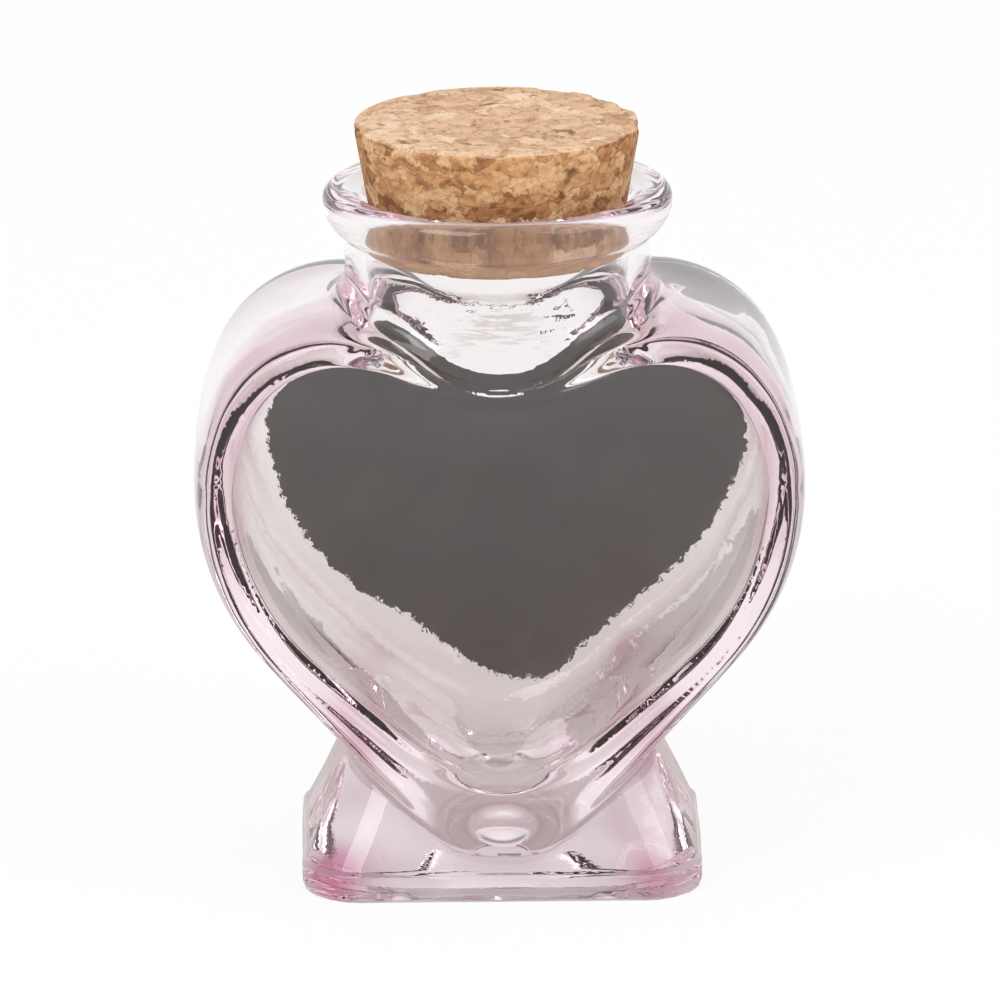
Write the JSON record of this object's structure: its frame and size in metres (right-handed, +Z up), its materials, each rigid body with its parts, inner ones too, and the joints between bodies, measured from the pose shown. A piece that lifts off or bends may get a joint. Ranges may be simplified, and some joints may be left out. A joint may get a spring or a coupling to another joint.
{
  "type": "corked glass bottle",
  "caption": "Heart-shaped clear glass bottle on a rectangular foot, with a round neck, rolled lip, push-in tapered cork and a heart label on its back panel",
  "frame": {"origin": "middle of the flat underside of the foot, on the axis of the neck", "axes": "+Z is up along the neck and the cork, +X is across the heart, -Y is the bare front panel and +Y the panel with the label"},
  "size_m": [0.0748, 0.0428, 0.0938],
  "materials": {
    "glass": "clear pressed glass with a faint pink tint, slightly wavy inside",
    "cork": "granulated cork, matt, with pits and chipped edges",
    "label": "thin dark sticker, matt"
  },
  "bodies": {
    "bottle": {"glass_bottle": "glass", "back_label": "label"},
    "stopper": {"cork_stopper": "cork"}
  },
  "joints": [
    {"name": "stopper_lift", "type": "slide", "parent": "bottle", "child": "stopper", "axis": [0, 0, 1], "range_m": [0, 0.05]}
  ]
}
